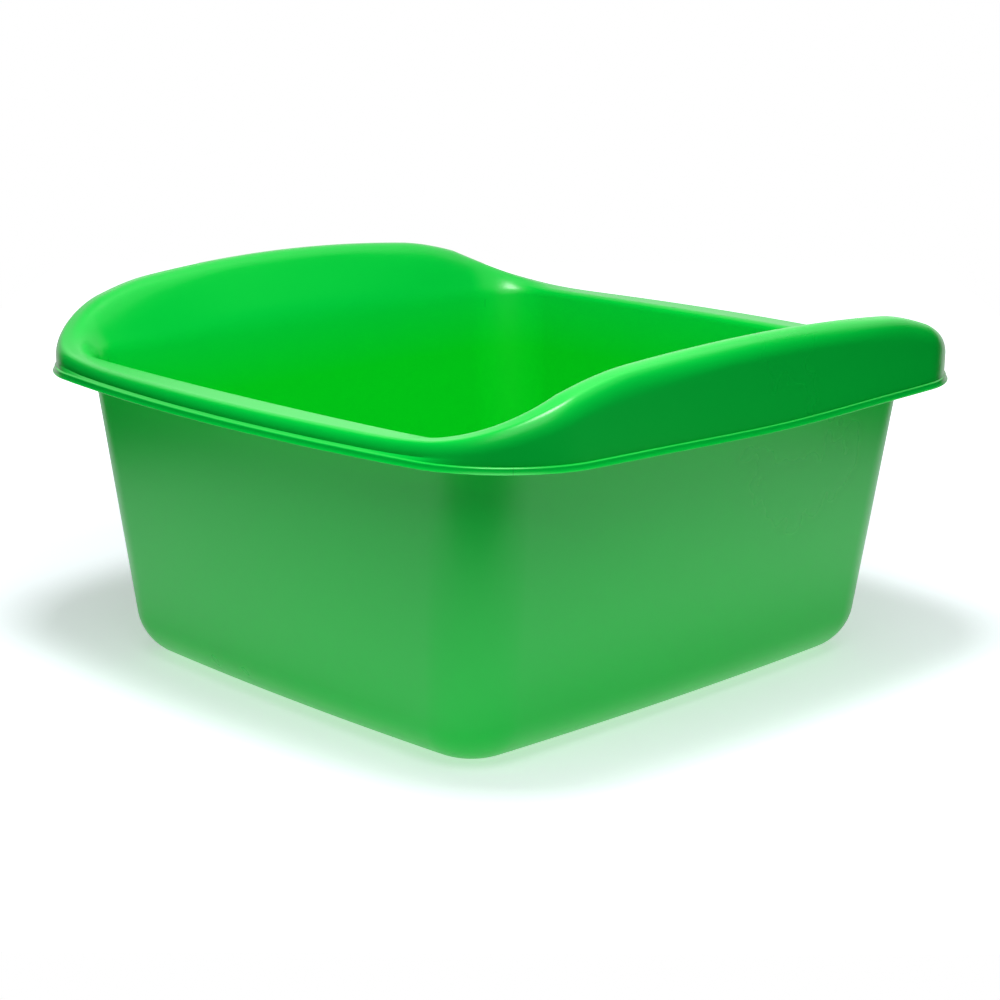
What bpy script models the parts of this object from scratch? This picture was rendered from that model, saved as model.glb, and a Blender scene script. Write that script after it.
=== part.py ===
# Square plastic basin with two raised grips, moulded in one piece
# Metres, +Z up. The origin is on the floor, at the middle of the footprint.
# The raised ends face +X and -X, and the low sides face +Y and -Y.
import math

import bmesh
import bpy

# Wall thickness of the whole moulding, and the distance at which the mirrored halves join
WALL = 0.0018
SEAM = 0.00005

# Lip: the bead that stands out round the lower edge of the rim
LIP_LENGTH = 0.3600
LIP_WIDTH = 0.3534
LIP_CORNER = 0.0490
LIP_BOW_ENDS = 0.0090
LIP_BOW_SIDES = 0.0168
LIP_UNDERSIDE = 0.1425
LIP_HEIGHT = 0.0031
LIP_REACH = 0.0017
LIP_DIP = 0.0010
LIP_CHAMFER = 0.0004

# Tub, measured on its outer faces: the mouth at the height of the lip's underside, and the base.
# The lip overhangs the mouth, and the walls lean in from the mouth to the base.
OVERHANG_ENDS = 0.0295
OVERHANG_SIDES = 0.02195
MOUTH_LENGTH = LIP_LENGTH - 2 * OVERHANG_ENDS
MOUTH_WIDTH = LIP_WIDTH - 2 * OVERHANG_SIDES
MOUTH_CORNER = 0.0300
MOUTH_BOW = 0.0058
LEAN_ENDS = 0.0215
LEAN_SIDES = 0.01375
BASE_LENGTH = MOUTH_LENGTH - 2 * LEAN_ENDS
BASE_WIDTH = MOUTH_WIDTH - 2 * LEAN_SIDES
BASE_CORNER = 0.0280
BASE_BOW = 0.0033
BASE_FILLET = 0.0225

# Floor: a foot ring that stands on the ground, and a panel lifted inside it
FOOT_WIDTH = 0.0140
PANEL_LIFT = 0.0012
PANEL_RAMP = 0.0030
PANEL_CORNER = 0.0120

# Rim of the low sides: a flat shelf, then a roll down to the skirt.
# The roll is part of an ellipse, whose half axes are its reach and its depth.
# Its lead is the strip of shelf beside it that the crest's inner curve turns into.
SHELF_HEIGHT = 0.1521
SHELF_EDGE = 0.0042
ROLL_INSET = 0.0070
ROLL_REACH = 0.0042
ROLL_DEPTH = 0.0058
ROLL_LEAD = 0.0015

# Raised ends: the wall flares out from a soft crease to a rounded crest above a tall skirt.
# The crest is part of an ellipse too.
CREST_HEIGHT = 0.1839
CREST_INSET = 0.0110
CREST_REACH = 0.0085
CREST_DEPTH = 0.0106
CREST_CORNER = 0.0455
CREASE_REACH = 0.0080
CROWN_DROP = 0.0040

# Where the crest falls and the lip stops dipping, as shares of the way
# along the lip from the middle of an end to the middle of a side.
# A tail above 1 draws out the foot of the fall.
FALL_START_SHARE = 0.26
FALL_END_SHARE = 0.75
FALL_TAIL_SHARE = 1.28
DIP_END_SHARE = 0.27

# Facets: sections in a quarter of the outline, and rings in each curved part of the profile
END_SECTIONS = 8
CORNER_SECTIONS = 9
SIDE_SECTIONS = 6
FILLET_RINGS = 5
WALL_RINGS = 3
EDGE_RINGS = 3
CROWN_RINGS = 2
CREST_RINGS = 5

# Green polypropylene
COLOUR = (0.018, 0.420, 0.075, 1.0)
ROUGHNESS = 0.34
SHARP_ANGLE = math.radians(40)
CHAMFER_ANGLE = math.radians(55)


def between(first, last, share):
    return first + (last - first) * share


def smooth_step(share):
    share = min(max(share, 0.0), 1.0)
    return share * share * (3 - 2 * share)


# Plan outline of a rounded rectangle with bowed sides, as one quarter of it,
# from the middle of the +X end round the corner to the middle of the +Y side.
# A bow is how far the corner lies inside the middle of its side.
def quarter_outline(half_length, half_width, corner, end_bow, side_bow):
    straight_x = half_length - corner
    straight_y = half_width - corner
    points = []
    for step in range(END_SECTIONS):
        points.append((half_length, straight_y * step / END_SECTIONS))
    for step in range(CORNER_SECTIONS + 1):
        turn = math.pi / 2 * step / CORNER_SECTIONS
        points.append((straight_x + corner * math.cos(turn), straight_y + corner * math.sin(turn)))
    for step in range(1, SIDE_SECTIONS + 1):
        points.append((straight_x * (1 - step / SIDE_SECTIONS), half_width))
    bowed = []
    for x, y in points:
        pull_x = end_bow / half_length * (y / half_width) ** 2
        pull_y = side_bow / half_width * (x / half_length) ** 2
        bowed.append((x * (1 - pull_x), y * (1 - pull_y)))
    return bowed


# Outline that follows the lip at an inset from it, with its own insets at the ends and the sides
def rim_outline(end_inset, side_inset, corner):
    half_length = LIP_LENGTH / 2 - end_inset
    half_width = LIP_WIDTH / 2 - side_inset
    return quarter_outline(half_length, half_width, corner, LIP_BOW_ENDS, LIP_BOW_SIDES)


# Outline of the tub's wall, inset from its outer face, at one height on the ends and one on the sides
def tub_outline(end_height, side_height, inset):
    end_share = end_height / LIP_UNDERSIDE
    side_share = side_height / LIP_UNDERSIDE
    half_length = between(BASE_LENGTH, MOUTH_LENGTH, end_share) / 2 - inset
    half_width = between(BASE_WIDTH, MOUTH_WIDTH, side_share) / 2 - inset
    corner = between(BASE_CORNER, MOUTH_CORNER, side_share) - inset
    bow = between(BASE_BOW, MOUTH_BOW, side_share)
    return quarter_outline(half_length, half_width, corner, bow, bow)


# How far along the lip each section lies, from 0 at an end's middle to 1 at a side's middle
def section_shares():
    points = rim_outline(0, 0, LIP_CORNER)
    travelled = [0.0]
    for before, after in zip(points, points[1:]):
        travelled.append(travelled[-1] + math.dist(before, after))
    return [length / travelled[-1] for length in travelled]


SECTION_SHARES = section_shares()


# Rise of the rim at each section: 1 at the crest's middle, 0 along the low sides
def rise_shares():
    drop_share = CROWN_DROP / (CREST_HEIGHT - SHELF_HEIGHT)
    rises = []
    for share in SECTION_SHARES:
        crown = 1 - drop_share * (share / FALL_START_SHARE) ** 2
        fall = smooth_step((share - FALL_START_SHARE) / (FALL_END_SHARE - FALL_START_SHARE))
        rises.append(crown * (1 - fall) ** FALL_TAIL_SHARE)
    return rises


RISE_SHARES = rise_shares()


# A ring is an outline with a height for each of its points
def level_ring(outline, height):
    return [(x, y, height) for x, y in outline]


def rising_ring(outline, end_height, side_height):
    return [(x, y, between(side_height, end_height, rise)) for (x, y), rise in zip(outline, RISE_SHARES)]


def lip_ring(inset, height):
    ring = []
    for (x, y), share in zip(rim_outline(inset, inset, LIP_CORNER - inset), SECTION_SHARES):
        dip = LIP_DIP * (1 - smooth_step(share / DIP_END_SHARE))
        ring.append((x, y, height - dip))
    return ring


# Floor, from the panel's edge out over the foot ring
def floor_rings():
    foot_inset = BASE_FILLET + FOOT_WIDTH
    rings = []
    for inset, lift in ((foot_inset + PANEL_RAMP, PANEL_LIFT), (foot_inset, 0)):
        half_length = BASE_LENGTH / 2 - inset
        half_width = BASE_WIDTH / 2 - inset
        panel = quarter_outline(half_length, half_width, PANEL_CORNER, BASE_BOW, BASE_BOW)
        rings.append(level_ring(panel, WALL + lift))
    return rings


# Fillet round the base, then the wall up to just below the crease
def tub_rings():
    rings = []
    inner_fillet = BASE_FILLET - WALL
    for step in range(FILLET_RINGS + 1):
        turn = math.pi / 2 * step / FILLET_RINGS
        height = BASE_FILLET - inner_fillet * math.cos(turn)
        inset = BASE_FILLET - inner_fillet * math.sin(turn)
        rings.append(level_ring(tub_outline(height, height, inset), height))
    for step in range(1, WALL_RINGS):
        share = step / WALL_RINGS
        end_height = between(BASE_FILLET, SHELF_HEIGHT - CREASE_REACH, share)
        side_height = between(BASE_FILLET, SHELF_HEIGHT - SHELF_EDGE, share)
        rings.append(rising_ring(tub_outline(end_height, side_height, WALL), end_height, side_height))
    return rings


# The flare runs straight from the crease to where it touches the crest's arc.
# The touching line is found on a circle, with the heights squashed, and then turned back into a slope.
def flare_line():
    crease_x = tub_outline(SHELF_HEIGHT, SHELF_HEIGHT, WALL)[0][0]
    squash = CREST_REACH / CREST_DEPTH
    across = LIP_LENGTH / 2 - CREST_INSET - crease_x
    up = (CREST_HEIGHT - CREST_DEPTH - SHELF_HEIGHT) * squash
    touch = math.atan2(across, up) - math.asin(CREST_REACH / math.hypot(across, up))
    lean = math.atan2(squash * math.sin(touch), math.cos(touch))
    return crease_x, lean, touch


# Rounded turn from the wall to the shelf on the sides, and from the wall to the flare on the ends
def crease_rings():
    crease_x, lean, touch = flare_line()
    wall_lean = math.atan2(LEAN_ENDS, LIP_UNDERSIDE)
    side_wall = tub_outline(SHELF_HEIGHT, SHELF_HEIGHT, WALL)[-1][1]
    rings = []
    for step in range(EDGE_RINGS + 1):
        share = step / EDGE_RINGS
        # Quadratic curves from the wall to the surface above it, with the crease as their middle point
        before = (1 - share) ** 2
        after = share ** 2
        end_across = CREASE_REACH * (after * math.sin(lean) - before * math.sin(wall_lean))
        end_up = CREASE_REACH * (after * math.cos(lean) - before * math.cos(wall_lean))
        turn = math.pi / 2 * share
        side_across = SHELF_EDGE * (1 - math.cos(turn))
        side_up = SHELF_EDGE * (math.sin(turn) - 1)
        half_length = crease_x + end_across
        half_width = side_wall + side_across
        corner = MOUTH_CORNER - WALL + (end_across + side_across) / 2
        outline = quarter_outline(half_length, half_width, corner, MOUTH_BOW, MOUTH_BOW)
        rings.append(rising_ring(outline, SHELF_HEIGHT + end_up, SHELF_HEIGHT + side_up))
    return rings


# Arc over the crest on the ends, and the shelf and its roll on the sides.
# Both turn over at the same ring, and up to there the sides stay flat.
def crest_rings():
    start = flare_line()[2] - math.pi / 2
    turns = [between(start, 0, step / CROWN_RINGS) for step in range(CROWN_RINGS)]
    turns += [math.pi / 2 * step / CREST_RINGS for step in range(CREST_RINGS + 1)]
    rings = []
    for turn in turns:
        across = math.sin(turn)
        drop = 1 - math.cos(turn)
        end_inset = CREST_INSET - CREST_REACH * across
        end_height = CREST_HEIGHT - CREST_DEPTH * drop
        if turn > 0:
            side_inset = ROLL_INSET - ROLL_REACH * across
            side_height = SHELF_HEIGHT - ROLL_DEPTH * drop
        else:
            side_inset = ROLL_INSET - ROLL_LEAD * across
            side_height = SHELF_HEIGHT
        corner = CREST_CORNER - (end_inset + side_inset) / 2
        rings.append(rising_ring(rim_outline(end_inset, side_inset, corner), end_height, side_height))
    return rings


# Foot of the skirt, then out along the top of the lip and down its face
def lip_rings():
    top = LIP_UNDERSIDE + LIP_HEIGHT
    return [lip_ring(LIP_REACH, top), lip_ring(0, top), lip_ring(0, LIP_UNDERSIDE)]


# One quarter of the moulding's upper face, as an open sheet lofted through its rings
def sheet_mesh(name):
    rings = floor_rings() + tub_rings() + crease_rings() + crest_rings() + lip_rings()
    sheet = bmesh.new()
    rows = [[sheet.verts.new(point) for point in ring] for ring in rings]
    middle = sheet.verts.new((0, 0, rings[0][0][2]))
    sheet.faces.new([middle] + rows[0])
    for inner, outer in zip(rows, rows[1:]):
        for start in range(len(inner) - 1):
            sheet.faces.new((inner[start], outer[start], outer[start + 1], inner[start + 1]))
    mesh = bpy.data.meshes.new(name)
    sheet.to_mesh(mesh)
    sheet.free()
    return mesh


def green_plastic():
    material = bpy.data.materials.new("green_plastic")
    material.use_nodes = True
    shader = material.node_tree.nodes["Principled BSDF"]
    shader.inputs["Base Color"].default_value = COLOUR
    shader.inputs["Roughness"].default_value = ROUGHNESS
    shader.inputs["Metallic"].default_value = 0.0
    return material


# The quarter is mirrored both ways, given its wall downwards and outwards, and its lip is eased
def make_basin(collection):
    basin = bpy.data.objects.new("basin", sheet_mesh("basin"))
    collection.objects.link(basin)
    basin.data.materials.append(green_plastic())
    mirror = basin.modifiers.new("both_ways", "MIRROR")
    mirror.use_axis = (True, True, False)
    mirror.use_clip = True
    mirror.merge_threshold = SEAM
    shell = basin.modifiers.new("wall", "SOLIDIFY")
    shell.thickness = WALL
    shell.offset = -1
    shell.use_even_offset = True
    shell.use_quality_normals = True
    ease = basin.modifiers.new("lip_edges", "BEVEL")
    ease.width = LIP_CHAMFER
    ease.segments = 1
    ease.limit_method = "ANGLE"
    ease.angle_limit = CHAMFER_ANGLE
    basin.data.shade_smooth()
    basin.data.set_sharp_from_angle(angle=SHARP_ANGLE)
    return basin


def main():
    for thing in list(bpy.data.objects):
        bpy.data.objects.remove(thing, do_unlink=True)
    collection = bpy.data.collections.new("plastic_basin")
    bpy.context.scene.collection.children.link(collection)
    make_basin(collection)


main()
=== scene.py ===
# Green washing basin in a pale studio. Metres, +Z up, the raised grips face +X and -X.
import math

import bmesh
import bpy
from mathutils import Matrix, Vector
from mathutils.geometry import interpolate_bezier


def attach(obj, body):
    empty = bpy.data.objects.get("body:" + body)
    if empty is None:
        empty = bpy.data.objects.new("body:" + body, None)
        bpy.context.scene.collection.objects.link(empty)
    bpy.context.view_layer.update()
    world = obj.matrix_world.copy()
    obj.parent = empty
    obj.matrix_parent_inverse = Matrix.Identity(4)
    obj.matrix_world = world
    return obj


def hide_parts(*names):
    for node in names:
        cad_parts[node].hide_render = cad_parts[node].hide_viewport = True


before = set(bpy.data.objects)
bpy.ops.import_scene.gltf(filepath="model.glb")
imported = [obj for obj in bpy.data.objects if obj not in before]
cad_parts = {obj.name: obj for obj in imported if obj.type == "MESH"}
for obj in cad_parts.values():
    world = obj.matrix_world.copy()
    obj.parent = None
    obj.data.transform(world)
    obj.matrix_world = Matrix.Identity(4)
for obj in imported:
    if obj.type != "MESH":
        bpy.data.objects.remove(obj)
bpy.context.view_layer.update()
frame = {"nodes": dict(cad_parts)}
scene = bpy.context.scene
print("frame loaded:", ", ".join(frame["nodes"]))

# The moulding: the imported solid's sizes, drawn with many more sections and with a finer lip and ridge
moulding = {
    "wall": 0.0018,
    # Tub
    "baseLength": 0.2580, "baseWidth": 0.2820, "baseCorner": 0.0280, "baseBow": 0.0033, "baseFillet": 0.0225,
    "mouthLength": 0.3010, "mouthWidth": 0.3095, "mouthCorner": 0.0300, "mouthBow": 0.0058,
    "footWidth": 0.0140, "panelLift": 0.0012, "panelRamp": 0.0030, "panelCorner": 0.0120, "panelMiddle": 0.6,
    # Lip
    "lipLength": 0.3600, "lipWidth": 0.3534, "lipCorner": 0.0490, "lipBowEnds": 0.0090, "lipBowSides": 0.0168,
    "lipUnderside": 0.1425, "lipHeight": 0.0031, "lipReach": 0.0017, "lipDip": 0.0010, "lipThin": 0.2,
    "ledgeReach": 0.0008, "ledgeDrop": 0.0003, "lipRound": 0.0005, "lipHollow": 0.0007, "lipEdge": 0.0003,
    "faceWay": (0.12, 0.99), "flickWay": (0.70, 0.71),  # out and down, at the top and foot of the lip's face
    "easeWidth": 0.0003, "easeSegments": 3, "easeAngle": 38,
    # Rim of the low sides, then the raised ends
    "shelfHeight": 0.1521, "shelfEdge": 0.0042,
    "rollInset": 0.0070, "rollReach": 0.0042, "rollDepth": 0.0058, "rollLead": 0.0015,
    "crestHeight": 0.1837, "crestInset": 0.0110, "crestReach": 0.0085, "crestDepth": 0.0106,
    "crestCorner": 0.0455, "creaseReach": 0.0080, "crownDrop": 0.0040,
    # Flat top and ridge round the corners
    "ridgeFlatEnd": 0.0029, "ridgeFlatSide": 0.0012, "ridgeSlope": 0.12, "ridgeDepth": 0.0135,
    # Shares of the way along the lip, from the middle of an end to the middle of a side
    "fallStart": 0.26, "fallEnd": 0.75, "fallTail": 1.28, "dipEnd": 0.27,
    "ridgeStart": 0.10, "ridgeFull": 0.34, "ridgeTurn": 0.60, "ridgeEnd": 0.78,
    "sweepTurn": 0.46, "sweepEnd": 0.64,
    # Sections round a quarter, and rings up the profile
    "endSections": 22, "cornerSections": 28, "sideSections": 22,
    "rampRings": 4, "filletRings": 12, "wallRings": 10, "creaseRings": 8, "sweepFrom": 6, "flareRings": 5,
    "crownRings": 8, "crestRings": 14, "ridgeFlatRings": 3, "skirtRings": 5, "ledgeRings": 6, "lipRings": 8,
}
quarterSteps = moulding["endSections"] + moulding["cornerSections"] + moulding["sideSections"]
columnCount = 4 * quarterSteps


def between(first, last, share):
    return first + (last - first) * share


def smoothStep(share):
    share = min(max(share, 0.0), 1.0)
    return share * share * (3 - 2 * share)


# One quarter of a rounded rectangle with bowed sides, from the +X end round to the +Y side
def quarterOutline(halfLength, halfWidth, corner, endBow, sideBow):
    straightX, straightY = halfLength - corner, halfWidth - corner
    ends, corners, sides = moulding["endSections"], moulding["cornerSections"], moulding["sideSections"]
    points = [(halfLength, straightY * step / ends) for step in range(ends)]
    for step in range(corners + 1):
        turn = math.pi / 2 * step / corners
        points.append((straightX + corner * math.cos(turn), straightY + corner * math.sin(turn)))
    points += [(straightX * (1 - step / sides), halfWidth) for step in range(1, sides + 1)]
    bowed = []
    for x, y in points:
        pullX = endBow / halfLength * (y / halfWidth) ** 2
        pullY = sideBow / halfWidth * (x / halfLength) ** 2
        bowed.append((x * (1 - pullX), y * (1 - pullY)))
    return bowed


def rimOutline(endInset, sideInset, corner):
    m = moulding
    halfLength, halfWidth = m["lipLength"] / 2 - endInset, m["lipWidth"] / 2 - sideInset
    return quarterOutline(halfLength, halfWidth, corner, m["lipBowEnds"], m["lipBowSides"])


def tubOutline(height, inset, sideHeight=None):
    m = moulding
    endShare = height / m["lipUnderside"]
    sideShare = (height if sideHeight is None else sideHeight) / m["lipUnderside"]
    bow = between(m["baseBow"], m["mouthBow"], sideShare)
    return quarterOutline(between(m["baseLength"], m["mouthLength"], endShare) / 2 - inset,
                          between(m["baseWidth"], m["mouthWidth"], sideShare) / 2 - inset,
                          between(m["baseCorner"], m["mouthCorner"], sideShare) - inset, bow, bow)


def lipShares():
    points = rimOutline(0, 0, moulding["lipCorner"])
    travelled = [0.0]
    for before, after in zip(points, points[1:]):
        travelled.append(travelled[-1] + math.dist(before, after))
    return [length / travelled[-1] for length in travelled]


def riseShares():
    m = moulding
    drop = m["crownDrop"] / (m["crestHeight"] - m["shelfHeight"])
    rises = []
    for share in alongLip:
        crown = 1 - drop * (share / m["fallStart"]) ** 2
        fall = smoothStep((share - m["fallStart"]) / (m["fallEnd"] - m["fallStart"]))
        rises.append(crown * (1 - fall) ** m["fallTail"])
    return rises


alongLip = lipShares()
rimRise = riseShares()


def levelRing(outline, height):
    return [(x, y, height) for x, y in outline]


def risingRing(outline, endHeight, sideHeight):
    return [(x, y, between(sideHeight, endHeight, rise)) for (x, y), rise in zip(outline, rimRise)]


def lipRing(inset, height):
    m = moulding
    ring = []
    for (x, y), share in zip(rimOutline(inset, inset, m["lipCorner"] - inset), alongLip):
        ring.append((x, y, height - m["lipDip"] * (1 - smoothStep(share / m["dipEnd"]))))
    return ring


def mixRings(first, last, shares):
    return [tuple(between(a, b, share) for a, b in zip(p, q)) for p, q, share in zip(first, last, shares)]


def blendRings(first, last, steps):
    return [mixRings(first, last, [step / steps] * len(first)) for step in range(1, steps)]


def floorRings():
    m = moulding
    footInset = m["baseFillet"] + m["footWidth"]
    rings = []
    for step in range(m["rampRings"] + 1):
        share = step / m["rampRings"]
        inset = footInset + m["panelRamp"] * (1 - share)
        halfLength, halfWidth = m["baseLength"] / 2 - inset, m["baseWidth"] / 2 - inset
        outline = quarterOutline(halfLength, halfWidth, m["panelCorner"], m["baseBow"], m["baseBow"])
        rings.append(levelRing(outline, m["wall"] + m["panelLift"] * (1 - smoothStep(share))))
    middle = [(x * m["panelMiddle"], y * m["panelMiddle"], z) for x, y, z in rings[0]]
    return [middle] + rings


def tubRings():
    m = moulding
    innerFillet = m["baseFillet"] - m["wall"]
    rings = []
    for step in range(m["filletRings"] + 1):
        turn = math.pi / 2 * step / m["filletRings"]
        height = m["baseFillet"] - innerFillet * math.cos(turn)
        rings.append(levelRing(tubOutline(height, m["baseFillet"] - innerFillet * math.sin(turn)), height))
    for step in range(1, m["wallRings"]):
        share = step / m["wallRings"]
        endHeight = between(m["baseFillet"], m["shelfHeight"] - m["creaseReach"], share)
        sideHeight = between(m["baseFillet"], m["shelfHeight"] - m["shelfEdge"], share)
        rings.append(risingRing(tubOutline(endHeight, m["wall"], sideHeight), endHeight, sideHeight))
    return rings


# The flare leaves the crease and touches the crest's elliptic arc
def flareLine():
    m = moulding
    creaseX = tubOutline(m["shelfHeight"], m["wall"])[0][0]
    squash = m["crestReach"] / m["crestDepth"]
    across = m["lipLength"] / 2 - m["crestInset"] - creaseX
    up = (m["crestHeight"] - m["crestDepth"] - m["shelfHeight"]) * squash
    touch = math.atan2(across, up) - math.asin(m["crestReach"] / math.hypot(across, up))
    return creaseX, math.atan2(squash * math.sin(touch), math.cos(touch)), touch


# Rounded turn from the wall to the shelf on the sides, and from the wall to the flare on the ends
def creaseRings():
    m = moulding
    creaseX, lean, touch = flareLine()
    wallLean = math.atan2((m["mouthLength"] - m["baseLength"]) / 2, m["lipUnderside"])
    sideWall = tubOutline(m["shelfHeight"], m["wall"])[-1][1]
    rings = []
    for step in range(m["creaseRings"] + 1):
        share = step / m["creaseRings"]
        before, after = (1 - share) ** 2, share ** 2
        endAcross = m["creaseReach"] * (after * math.sin(lean) - before * math.sin(wallLean))
        endUp = m["creaseReach"] * (after * math.cos(lean) - before * math.cos(wallLean))
        turn = math.pi / 2 * share
        sideAcross = m["shelfEdge"] * (1 - math.cos(turn))
        sideUp = m["shelfEdge"] * (math.sin(turn) - 1)
        halfLength, halfWidth = creaseX + endAcross, sideWall + sideAcross
        corner = m["mouthCorner"] - m["wall"] + (endAcross + sideAcross) / 2
        outline = quarterOutline(halfLength, halfWidth, corner, m["mouthBow"], m["mouthBow"])
        rings.append(risingRing(outline, m["shelfHeight"] + endUp, m["shelfHeight"] + sideUp))
    return rings


# Round the corners the rim has a flat top and a ridge, and along the sides and ends a plain round edge
def cornerShares(turn, end):
    m = moulding
    shares = []
    for share in alongLip:
        crisp = smoothStep((share - m["ridgeStart"]) / (m["ridgeFull"] - m["ridgeStart"]))
        shares.append(crisp * (1 - smoothStep((share - turn) / (end - turn))))
    return shares


# A ring over the rim, placed from the crest's top on the ends and from the shelf's edge on the sides
def overRing(endAcross, endDrop, sideAcross, sideDrop):
    m = moulding
    endInset, sideInset = m["crestInset"] - endAcross, m["rollInset"] - sideAcross
    outline = rimOutline(endInset, sideInset, m["crestCorner"] - (endInset + sideInset) / 2)
    return risingRing(outline, m["crestHeight"] - endDrop, m["shelfHeight"] - sideDrop)


# Rings up to the crest's top, where the low sides stay flat
def crownRings():
    m = moulding
    start = flareLine()[2] - math.pi / 2
    rings = []
    for step in range(m["crownRings"] + 1):
        turn = between(start, 0, step / m["crownRings"])
        across, drop = math.sin(turn), 1 - math.cos(turn)
        rings.append(overRing(m["crestReach"] * across, m["crestDepth"] * drop, m["rollLead"] * across, 0))
    return rings


# Rings from the crest's top over to the skirt
def crestRings():
    m = moulding
    endFlat, sideFlat, flatRings = m["ridgeFlatEnd"], m["ridgeFlatSide"], m["ridgeFlatRings"]
    shares = cornerShares(m["ridgeTurn"], m["ridgeEnd"])
    rings = []
    for step in range(1, m["crestRings"] + 1):
        turn = math.pi / 2 * step / m["crestRings"]
        across, drop = math.sin(turn), 1 - math.cos(turn)
        plain = overRing(m["crestReach"] * across, m["crestDepth"] * drop,
                         m["rollReach"] * across, m["rollDepth"] * drop)
        past = max(0, step - flatRings) / (m["crestRings"] - flatRings) * math.pi / 2
        flat = min(1, step / flatRings)
        across, drop = math.sin(past), 1 - math.cos(past)
        ridged = overRing(endFlat * flat + (m["crestReach"] - endFlat) * across,
                          endFlat * flat * m["ridgeSlope"] + m["ridgeDepth"] * drop,
                          sideFlat * flat + (m["rollReach"] - sideFlat) * across, m["rollDepth"] * drop)
        rings.append(mixRings(plain, ridged, shares))
    return rings


# Which way the flat top runs outwards at each section
def outwards(top):
    m = moulding
    wider = overRing(m["ridgeFlatEnd"], m["ridgeFlatEnd"] * m["ridgeSlope"], m["ridgeFlatSide"], 0)
    return [(Vector(b) - Vector(a)).normalized() for a, b in zip(top, wider)]


# Round the corners the flare runs into the flat top in one smooth sweep
def sweepRings(crease, top, plainRings):
    shares = cornerShares(moulding["sweepTurn"], moulding["sweepEnd"])
    swept = []
    for step, plain in enumerate(plainRings, 1):
        share = step / (len(plainRings) + 1)
        ring = []
        for before, first, last, after in zip(crease[-2], crease[-1], top, outwards(top)):
            first, last = Vector(first), Vector(last)
            reach = (last - first).length
            leave = (first - Vector(before)).normalized() * reach * share * (1 - share) ** 2
            arrive = Vector(after) * reach * share * share * (1 - share)
            ring.append(tuple(first.lerp(last, smoothStep(share)) + leave - arrive))
        swept.append(mixRings(plain, ring, shares))
    return swept


# The lip: a narrow ledge, a round corner, then a hollow face that flicks out to a thin lower edge
def lipRings():
    m = moulding
    corner = Vector((m["ledgeReach"], m["ledgeDrop"]))
    edge = Vector((m["lipReach"], m["lipHeight"] - m["lipEdge"]))
    before = corner - corner.normalized() * m["lipRound"]
    after = corner + Vector(m["faceWay"]) * m["lipRound"]
    pull = 2 / 3  # makes the corner a plain quadratic curve
    handles = before.lerp(corner, pull), after.lerp(corner, pull)
    profile = interpolate_bezier(before, *handles, after, m["ledgeRings"])
    leave = after + Vector(m["faceWay"]) * m["lipHollow"]
    arrive = edge - Vector(m["flickWay"]) * m["lipHollow"]
    profile += interpolate_bezier(after, leave, arrive, edge, m["lipRings"] + 1)[1:]
    top = m["lipUnderside"] + m["lipHeight"]
    foot = lipRing(m["lipReach"], top)
    return [foot] + [lipRing(m["lipReach"] - point[0], top - point[1]) for point in profile]


def sheetRings():
    m = moulding
    crease, crown, crest, lip = creaseRings(), crownRings(), crestRings(), lipRings()
    flare = crease[m["sweepFrom"]:] + blendRings(crease[-1], crown[0], m["flareRings"]) + crown[:-1]
    crease = crease[:m["sweepFrom"]]
    skirt = blendRings(crest[-1], lip[0], m["skirtRings"])
    return (floorRings() + tubRings() + crease + sweepRings(crease, crown[-1], flare)
            + [crown[-1]] + crest + skirt + lip)


# A ring holds one quarter, from the middle of the +X end to the middle of the +Y side
def ringPoint(ring, column):
    quarter, step = divmod(column, quarterSteps)
    x, y, z = ring[step if quarter % 2 == 0 else quarterSteps - step]
    return Vector((x if quarter in (0, 3) else -x, y if quarter < 2 else -y, z))


# The sheet starts as a disc in the middle of the floor and grows ring by ring out to the lip
def drawSheet():
    bm = bmesh.new()
    column = bm.verts.layers.int.new("column")
    wallShare = bm.verts.layers.deform.verify()
    bmesh.ops.create_circle(bm, cap_ends=True, segments=columnCount, radius=1)
    rings = sheetRings()
    for vert in bm.verts:
        vert[column] = round(math.atan2(vert.co.y, vert.co.x) / math.tau * columnCount) % columnCount
        vert.co = ringPoint(rings[0], vert[column])
        vert[wallShare][0] = 1.0
    edges = list(bm.edges)
    for number, ring in enumerate(rings[1:], 1):
        past = max(0, number - len(rings) + 1 + moulding["lipRings"]) / moulding["lipRings"]
        grown = bmesh.ops.extrude_edge_only(bm, edges=edges)["geom"]
        fresh = {part for part in grown if isinstance(part, bmesh.types.BMVert)}
        for vert in fresh:
            vert.co = ringPoint(ring, vert[column])
            vert[wallShare][0] = between(1, moulding["lipThin"], past)
        edges = [part for part in grown if isinstance(part, bmesh.types.BMEdge) and set(part.verts) <= fresh]
    bmesh.ops.recalc_face_normals(bm, faces=bm.faces)
    disc = min(bm.faces, key=lambda face: face.calc_center_median().length)
    if disc.normal.z < 0:
        bmesh.ops.reverse_faces(bm, faces=bm.faces)
    for face in bm.faces:
        face.smooth = True
    return bm


def finishPiece(bm, name, material):
    mesh = bpy.data.meshes.new(name)
    bm.to_mesh(mesh)
    bm.free()
    piece = bpy.data.objects.new(name, mesh)
    scene.collection.objects.link(piece)
    mesh.materials.append(material)
    return piece


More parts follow.
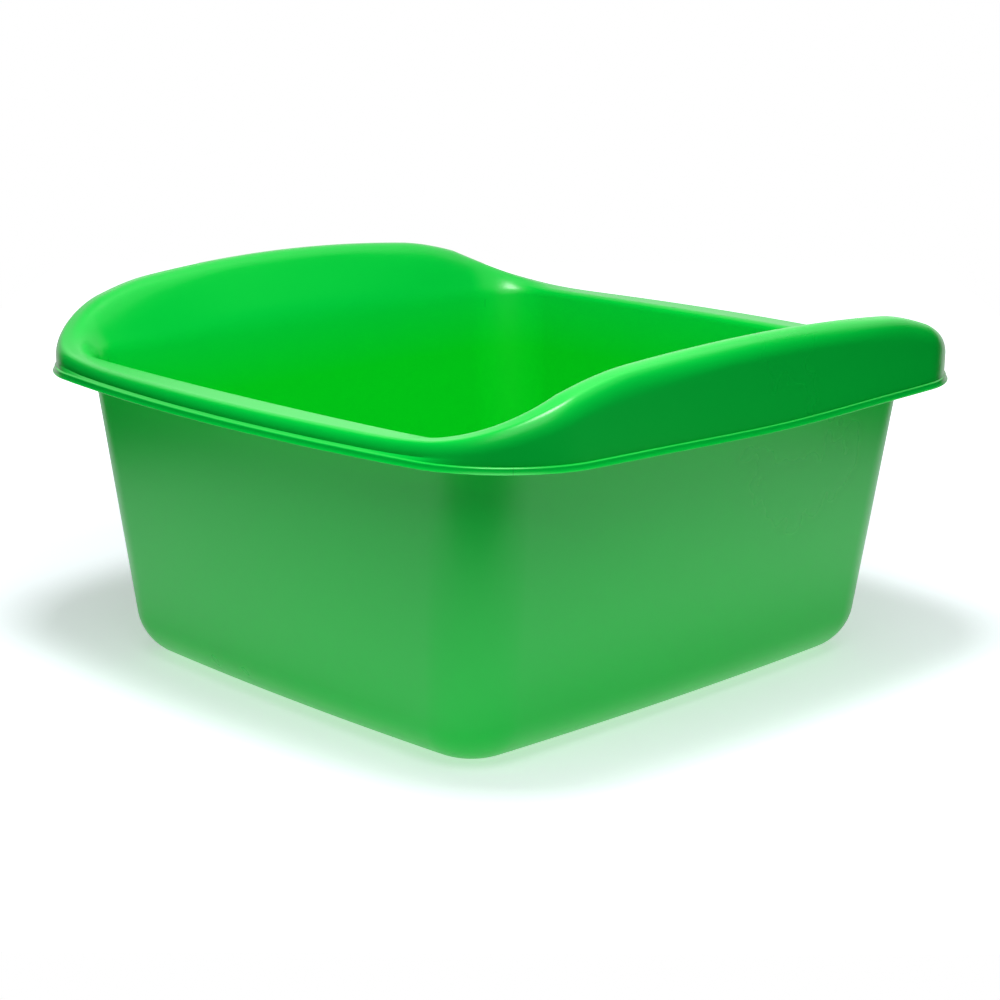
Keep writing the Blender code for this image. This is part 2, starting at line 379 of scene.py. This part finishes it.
# Plastic: satin green, with faint flow clouds, a fine grain, a mould line over the lip's corners and painted
# light on the tub's inner faces
plastic = {
    "deep": (0.0, 0.610, 0.050, 1), "light": (0.0, 0.650, 0.057, 1), "ior": 1.42,
    "roughness": 0.285, "roughnessSpread": 0.035,
    "cloudScale": 9.0, "cloudDetail": 4.0, "cloudRoughness": 0.55,
    # Painted light: low in the tub the colour turns yellower, a painted stand-in for light that crosses the
    # wall twice
    "inside": (0.0, 0.630, 0.014, 1), "insideFrom": 0.154, "insideTo": 0.118,
    "insideUpward": 0.5, "insideFull": 0.4,
    "mouldLineOffset": 0.0145, "mouldLineWidth": 0.00022, "mouldLineFrom": 0.1412, "mouldLineTo": 0.1457,
    "mouldLineShade": (0.3, 0.3, 0.3, 1), "mouldLineStrength": 0.35,
    "waveScale": 26.0, "waveDetail": 1.0, "waveHeight": 0.00012, "waveStrength": 0.6,
    "grainScale": 1400.0, "grainDetail": 2.0, "grainHeight": 0.000012, "grainStrength": 0.5,
}


def addNode(tree, kind, settings=None, inputs=None):
    node = tree.nodes.new(kind)
    for key, value in (settings or {}).items():
        setattr(node, key, value)
    for key, value in (inputs or {}).items():
        if isinstance(value, bpy.types.NodeSocket):
            tree.links.new(value, node.inputs[key])
        else:
            node.inputs[key].default_value = value
    return node


def mathNode(tree, operation, first, second=0.0, third=0.0):
    inputs = {0: first, 1: second, 2: third}
    return addNode(tree, "ShaderNodeMath", {"operation": operation}, inputs).outputs[0]


def vectorNode(tree, operation, first, second, output):
    inputs = {0: first} if second is None else {0: first, 1: second}
    return addNode(tree, "ShaderNodeVectorMath", {"operation": operation}, inputs).outputs[output]


def mixColours(tree, blend, share, first, second):
    settings = {"data_type": "RGBA", "blend_type": blend}
    return addNode(tree, "ShaderNodeMix", settings, {0: share, 6: first, 7: second}).outputs[2]


# Mask for the painted light: 1 on the tub's inner faces and 0 outside, fading in with depth
def insideShare(tree, p, coordinates):
    axes = addNode(tree, "ShaderNodeSeparateXYZ", None, {"Vector": coordinates["Object"]}).outputs
    level = addNode(tree, "ShaderNodeCombineXYZ", None, {"X": axes["X"], "Y": axes["Y"], "Z": 0.0})
    aside = vectorNode(tree, "NORMALIZE", level.outputs[0], None, "Vector")
    outward = vectorNode(tree, "DOT_PRODUCT", coordinates["Normal"], aside, "Value")
    upward = addNode(tree, "ShaderNodeSeparateXYZ", None, {"Vector": coordinates["Normal"]}).outputs["Z"]
    inward = mathNode(tree, "MULTIPLY", outward, -1.0)
    within = addNode(tree, "ShaderNodeMapRange", None, {
        "Value": mathNode(tree, "MULTIPLY_ADD", upward, p["insideUpward"], inward),
        "From Min": 0.0, "From Max": p["insideFull"]})
    depth = addNode(tree, "ShaderNodeMapRange", None, {
        "Value": axes["Z"], "From Min": p["insideFrom"], "From Max": p["insideTo"]})
    return mathNode(tree, "MULTIPLY", within.outputs["Result"], depth.outputs["Result"])


# 1 on a thin upright line over the lip near each corner
def mouldLine(tree, p, coordinates):
    axes = addNode(tree, "ShaderNodeSeparateXYZ", None, {"Vector": coordinates["Object"]}).outputs
    along, aside = mathNode(tree, "ABSOLUTE", axes["X"]), mathNode(tree, "ABSOLUTE", axes["Y"])
    across = mathNode(tree, "SUBTRACT", along, aside)
    off = mathNode(tree, "ABSOLUTE", mathNode(tree, "SUBTRACT", across, p["mouldLineOffset"]))
    thin = mathNode(tree, "LESS_THAN", off, p["mouldLineWidth"])
    above = mathNode(tree, "GREATER_THAN", axes["Z"], p["mouldLineFrom"])
    below = mathNode(tree, "LESS_THAN", axes["Z"], p["mouldLineTo"])
    return mathNode(tree, "MULTIPLY", thin, mathNode(tree, "MULTIPLY", above, below))


def makePlastic(name, p):
    material = bpy.data.materials.new(name)
    material.use_nodes = True
    tree = material.node_tree
    shader = tree.nodes["Principled BSDF"]
    coordinates = addNode(tree, "ShaderNodeTexCoord").outputs
    place = coordinates["Object"]
    cloud = addNode(tree, "ShaderNodeTexNoise", None, {
        "Vector": place, "Scale": p["cloudScale"],
        "Detail": p["cloudDetail"], "Roughness": p["cloudRoughness"]})
    tint = mixColours(tree, "MIX", cloud.outputs["Fac"], p["deep"], p["light"])
    # Painted light: a yellower colour on the tub's inner faces, for light that crosses the wall twice
    tintAndPaintedLight = mixColours(tree, "MIX", insideShare(tree, p, coordinates), tint, p["inside"])
    line = mathNode(tree, "MULTIPLY", mouldLine(tree, p, coordinates), p["mouldLineStrength"])
    colour = mixColours(tree, "MULTIPLY", line, tintAndPaintedLight, p["mouldLineShade"])
    rough = addNode(tree, "ShaderNodeMapRange", None, {
        "Value": cloud.outputs["Fac"], "To Min": p["roughness"] - p["roughnessSpread"],
        "To Max": p["roughness"] + p["roughnessSpread"]})
    wave = addNode(tree, "ShaderNodeTexNoise", None, {
        "Vector": place, "Scale": p["waveScale"], "Detail": p["waveDetail"]})
    swell = addNode(tree, "ShaderNodeBump", None, {
        "Height": wave.outputs["Fac"], "Distance": p["waveHeight"], "Strength": p["waveStrength"]})
    grain = addNode(tree, "ShaderNodeTexNoise", None, {
        "Vector": place, "Scale": p["grainScale"], "Detail": p["grainDetail"]})
    skin = addNode(tree, "ShaderNodeBump", None, {
        "Height": grain.outputs["Fac"], "Distance": p["grainHeight"], "Strength": p["grainStrength"],
        "Normal": swell.outputs["Normal"]})
    tree.links.new(colour, shader.inputs["Base Color"])
    tree.links.new(rough.outputs["Result"], shader.inputs["Roughness"])
    tree.links.new(skin.outputs["Normal"], shader.inputs["Normal"])
    shader.inputs["IOR"].default_value = p["ior"]
    return material


greenPlastic = makePlastic("greenPlastic", plastic)
basin = finishPiece(drawSheet(), "basin_moulding", greenPlastic)
basin.vertex_groups.new(name="wallShare")  # the wall thins out towards the lip's edge
shell = basin.modifiers.new("wall", "SOLIDIFY")
shell.vertex_group = "wallShare"
shell.thickness = moulding["wall"]
shell.offset = -1
shell.use_even_offset = True
shell.use_quality_normals = True
ease = basin.modifiers.new("lipEase", "BEVEL")
ease.width = moulding["easeWidth"]
ease.segments = moulding["easeSegments"]
ease.limit_method = "ANGLE"
ease.angle_limit = math.radians(moulding["easeAngle"])
ease.harden_normals = True
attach(basin, "root")
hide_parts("basin")
print("moulding drawn:", len(basin.data.vertices), "points before the wall")

# Gate mark: the stub that the mould leaves in the middle of the underside
gateMark = {"radius": 0.0022, "footRadius": 0.00176, "top": 0.0016, "bottom": 0.0006, "edge": 0.0003,
            "segments": 32, "edgeSegments": 3, "flatFrom": 0.9}


def drawGateMark(g):
    bm = bmesh.new()
    height = g["top"] - g["bottom"]
    bmesh.ops.create_cone(bm, cap_ends=True, segments=g["segments"], radius1=g["footRadius"],
                          radius2=g["radius"], depth=height,
                          matrix=Matrix.Translation((0, 0, g["bottom"] + height / 2)))
    rim = [edge for edge in bm.edges if all(vert.co.z < g["bottom"] + g["edge"] for vert in edge.verts)]
    bmesh.ops.bevel(bm, geom=rim, offset=g["edge"], offset_type="OFFSET", affect="EDGES",
                    segments=g["edgeSegments"], profile=0.5, material=-1)
    for face in bm.faces:
        face.smooth = abs(face.normal.z) < g["flatFrom"]
    return bm


gate = finishPiece(drawGateMark(gateMark), "gate_mark", greenPlastic)
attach(gate, "root")
print("gate mark drawn")

# Camera: the photograph's viewpoint, with its focal length and centre in pixels of a square frame
viewpoint = {"azimuth": 45.992, "elevation": 14.192, "roll": 0.124, "distance": 1.1405, "aimHeight": 0.081,
             "focalPixels": 2301.6, "centreX": 496.8, "centreY": 491.8,
             "framePixels": 1000, "sensorWidth": 36}


# Direction from the basin to a viewer or a lamp, by azimuth and elevation
def backwards(azimuth, elevation):
    a, e = math.radians(azimuth), math.radians(elevation)
    return Vector((math.sin(a) * math.cos(e), -math.cos(a) * math.cos(e), math.sin(e)))


def makeCamera(v):
    lens = bpy.data.cameras.new("photoCamera")
    lens.sensor_width = v["sensorWidth"]
    lens.lens = v["focalPixels"] / v["framePixels"] * v["sensorWidth"]
    lens.shift_x = (v["framePixels"] / 2 - v["centreX"]) / v["framePixels"]
    lens.shift_y = (v["centreY"] - v["framePixels"] / 2) / v["framePixels"]
    camera = bpy.data.objects.new("photoCamera", lens)
    scene.collection.objects.link(camera)
    back = backwards(v["azimuth"], v["elevation"])
    roll = Matrix.Rotation(math.radians(v["roll"]), 4, "Z")
    turn = back.to_track_quat("Z", "Y").to_matrix().to_4x4() @ roll
    camera.matrix_world = Matrix.Translation(Vector((0, 0, v["aimHeight"])) + back * v["distance"]) @ turn
    scene.camera = camera


makeCamera(viewpoint)
print("camera placed")

# Studio: a pale table in a white surround, soft lamps above, and dark screens that only reflections see
studio = {
    "tableHalfWidth": 0.46, "tableFront": 0.35, "tableBack": 1.30,
    "tableColour": (0.81, 0.85, 0.90, 1), "tableRoughness": 0.9,
    "glowColour": (0.95, 0.99, 1.0, 1), "tableGlow": 0.42,
    "tableLift": 0.10, "tableFade": 0.80, "fadeFrom": 0.28, "fadeTo": 0.70,
    "lamps": [
        {"name": "frontLamp", "power": 2.6, "size": 0.6, "turn": 0, "elevation": 53, "distance": 0.95},
        {"name": "hotLamp", "power": 5.6, "size": 0.24, "turn": -5, "elevation": 75, "distance": 0.95},
        {"name": "topLamp", "power": 1.6, "size": 0.8, "turn": 90, "elevation": 70, "distance": 0.95},
    ],
    "surroundFill": 0.0,  # how much the surround lights the basin
    # The screens reach this far left, right, up and down, in degrees, and further right low down
    "screenLeft": 129, "screenRight": 115, "screenTop": 75, "screenBottom": -40,
    "screenLowRight": 132, "screenLowTop": 22,
    "screenRadius": 2.6, "screenColour": (0.01, 0.01, 0.01, 1), "screenAround": 72, "screenUp": 36,
}


def makeTable(s):
    material = bpy.data.materials.new("paleTable")
    material.use_nodes = True
    tree = material.node_tree
    shader = tree.nodes["Principled BSDF"]
    shader.inputs["Base Color"].default_value = s["tableColour"]
    shader.inputs["Roughness"].default_value = s["tableRoughness"]
    shader.inputs["Specular IOR Level"].default_value = 0.0
    shader.inputs["Emission Color"].default_value = s["glowColour"]
    # The camera sees the table turn white with distance, so that no edge shows behind the basin
    place = addNode(tree, "ShaderNodeTexCoord").outputs["Object"]
    lift = addNode(tree, "ShaderNodeMapRange", {"interpolation_type": "SMOOTHSTEP"}, {
        "Value": vectorNode(tree, "LENGTH", place, None, "Value"), "From Min": s["fadeFrom"],
        "From Max": s["fadeTo"], "To Min": s["tableLift"], "To Max": s["tableLift"] + s["tableFade"]})
    seen = addNode(tree, "ShaderNodeLightPath").outputs["Is Camera Ray"]
    glow = mathNode(tree, "MULTIPLY_ADD", seen, lift.outputs["Result"], s["tableGlow"])
    tree.links.new(glow, shader.inputs["Emission Strength"])
    depth = s["tableFront"] + s["tableBack"]
    spin = Matrix.Rotation(math.radians(viewpoint["azimuth"]), 4, "Z")
    back = Matrix.Translation((0, depth / 2 - s["tableFront"], 0))
    bm = bmesh.new()
    bmesh.ops.create_grid(bm, x_segments=1, y_segments=1, size=1,
                          matrix=spin @ back @ Matrix.Diagonal((s["tableHalfWidth"], depth / 2, 1, 1)))
    table = finishPiece(bm, "table", material)


# How far a direction lies to the right of the camera's own, in degrees from -180 to 180
def turnFromCamera(way):
    azimuth = math.degrees(math.atan2(way.x, -way.y))
    return (azimuth - viewpoint["azimuth"] + 180) % 360 - 180


def makeScreens(s):
    material = bpy.data.materials.new("darkScreen")
    material.use_nodes = True
    shader = material.node_tree.nodes["Principled BSDF"]
    shader.inputs["Base Color"].default_value = s["screenColour"]
    shader.inputs["Roughness"].default_value = 1.0
    shader.inputs["Specular IOR Level"].default_value = 0.0
    bm = bmesh.new()
    bmesh.ops.create_uvsphere(bm, u_segments=s["screenAround"], v_segments=s["screenUp"],
                              radius=s["screenRadius"])
    gone = []
    for face in bm.faces:
        way = face.calc_center_median().normalized()
        turn, lift = turnFromCamera(way), math.degrees(math.asin(way.z))
        right = s["screenRight"] if lift > s["screenLowTop"] else s["screenLowRight"]
        if not -s["screenLeft"] < turn < right or not s["screenBottom"] < lift < s["screenTop"]:
            gone.append(face)
    bmesh.ops.delete(bm, geom=gone, context="FACES")
    screens = finishPiece(bm, "screens", material)
    screens.visible_camera = False
    screens.visible_diffuse = False
    screens.visible_shadow = False
    screens.visible_transmission = False


def makeLamp(s):
    lamp = bpy.data.lights.new(s["name"], "AREA")
    lamp.shape = "SQUARE"
    lamp.size = s["size"]
    lamp.energy = s["power"]
    holder = bpy.data.objects.new(s["name"], lamp)
    scene.collection.objects.link(holder)
    spot = backwards(viewpoint["azimuth"] + s["turn"], s["elevation"]) * s["distance"]
    holder.matrix_world = Matrix.Translation(spot) @ spot.to_track_quat("Z", "Y").to_matrix().to_4x4()


# White to the camera, to reflections and to light through a wall, and no more than its fill to the rest
def makeSurround(s):
    world = bpy.data.worlds.new("surround")
    scene.world = world
    world.use_nodes = True
    tree = world.node_tree
    path = addNode(tree, "ShaderNodeLightPath").outputs
    bent = mathNode(tree, "MAXIMUM", path["Is Glossy Ray"], path["Is Transmission Ray"])
    seen = mathNode(tree, "MAXIMUM", path["Is Camera Ray"], bent)
    level = addNode(tree, "ShaderNodeMix", {"data_type": "FLOAT"}, {0: seen, 2: s["surroundFill"], 3: 1.0})
    surround = tree.nodes["Background"]
    surround.inputs["Color"].default_value = (1, 1, 1, 1)
    tree.links.new(level.outputs[0], surround.inputs["Strength"])


makeTable(studio)
makeScreens(studio)
for lampPlan in studio["lamps"]:
    makeLamp(lampPlan)
makeSurround(studio)
scene.view_settings.view_transform = "Standard"
print("studio lit")
